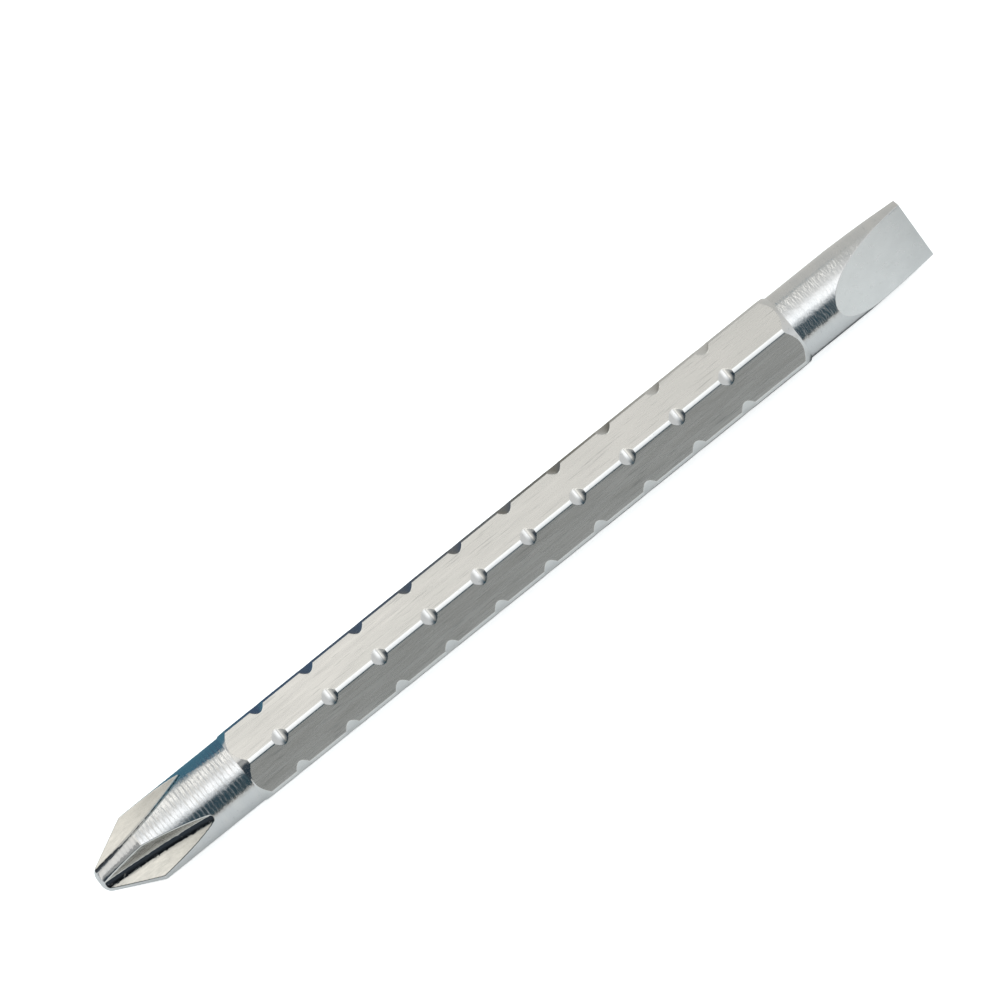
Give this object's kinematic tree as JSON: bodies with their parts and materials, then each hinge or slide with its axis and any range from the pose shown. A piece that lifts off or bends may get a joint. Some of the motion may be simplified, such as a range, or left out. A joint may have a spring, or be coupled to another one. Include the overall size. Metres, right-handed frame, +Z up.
{
  "type": "double-ended screwdriver blade",
  "caption": "Hexagonal steel screwdriver blade with a cross point on one end, a slotted tip on the other and rings of detent notches along its corners, for a handle with a hexagonal socket.",
  "frame": {"origin": "under the middle of the blade's length, on the flat of the hexagon that it lies on", "axes": "+X along the blade from the cross point to the slotted tip, +Z up, square to the flat that it lies on"},
  "size_m": [0.083, 0.0072, 0.0063],
  "materials": {
    "plated_steel": "bright plated steel, drawn along the flats and turned round the ends"
  },
  "bodies": {
    "root": {"blade": "plated_steel"}
  },
  "joints": []
}
